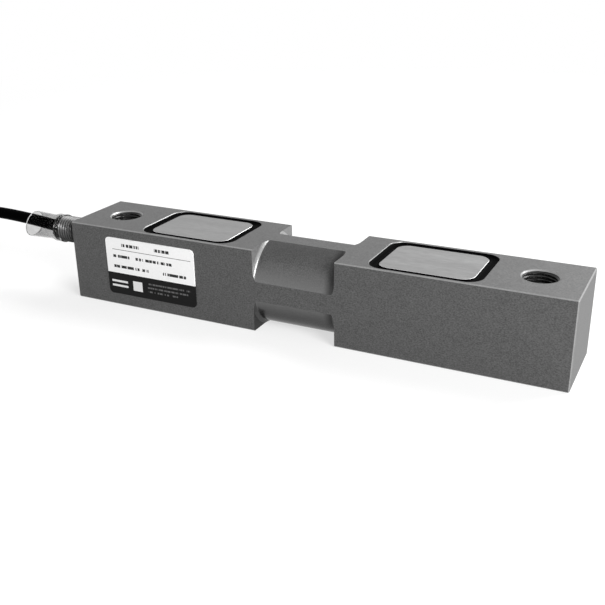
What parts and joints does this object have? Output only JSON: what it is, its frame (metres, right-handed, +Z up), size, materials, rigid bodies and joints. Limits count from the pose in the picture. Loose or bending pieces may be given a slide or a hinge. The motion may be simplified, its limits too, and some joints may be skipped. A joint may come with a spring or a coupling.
{
  "type": "double ended beam load cell",
  "caption": "Square steel beam that senses a load on its round neck, held by a threaded hole near each end, with sealed gauge pockets and a signal cable.",
  "frame": {"origin": "centre of the underside of the beam, on the narrow flat under its neck", "axes": "+X along the beam away from the cable end, +Z up, minus Y towards the face with the name plate"},
  "size_m": [0.4561, 0.0574, 0.0335],
  "materials": {
    "beam_steel": "satin plated steel with a fine ground grain",
    "cover_steel": "pale satin sheet steel",
    "spigot_steel": "turned and threaded plated steel",
    "sealant": "glossy black sealing compound",
    "gauge_film": "amber film with metal foil grids",
    "terminal_board": "laminate with tinned pads",
    "coating": "soft translucent silicone",
    "trim_board": "green laminate",
    "resistor": "lacquered resistor bodies",
    "wire_coat": "thin coloured wire insulation",
    "core_coat": "coloured core insulation",
    "clear_tube": "clear thin tube",
    "plate_foil": "white printed metal foil",
    "cable_jacket": "smooth black cable jacket",
    "tie_nylon": "black nylon strap"
  },
  "bodies": {
    "root": {"beam_body": "beam_steel", "cover_plate_left_top": "cover_steel", "cover_plate_left_bottom": "cover_steel", "cover_plate_right_top": "cover_steel", "cover_plate_right_bottom": "cover_steel", "seal_bead_left_top": "sealant", "seal_bead_left_bottom": "sealant", "seal_bead_right_top": "sealant", "seal_bead_right_bottom": "sealant", "strain_gauge_left_top": "gauge_film", "strain_gauge_left_bottom": "gauge_film", "strain_gauge_right_top": "gauge_film", "strain_gauge_right_bottom": "gauge_film", "solder_terminal_left_top": "terminal_board", "solder_terminal_left_bottom": "terminal_board", "solder_terminal_right_top": "terminal_board", "solder_terminal_right_bottom": "terminal_board", "gauge_coating_left_top": "coating", "gauge_coating_left_bottom": "coating", "gauge_coating_right_top": "coating", "gauge_coating_right_bottom": "coating", "board_pillars": "cover_steel", "trim_board": "trim_board", "trim_resistors": "resistor", "board_wires": "wire_coat", "neck_wires": "wire_coat", "web_wires_left": "wire_coat", "web_wires_right": "wire_coat", "cable_cores": "core_coat", "threaded_spigot": "spigot_steel", "cable_seal": "sealant", "clear_sleeve": "clear_tube", "name_plate": "plate_foil", "cable_lead": "cable_jacket", "cable_coil": "cable_jacket", "coil_ties": "tie_nylon", "cable_tail": "cable_jacket", "tail_cores": "core_coat"}
  },
  "joints": []
}
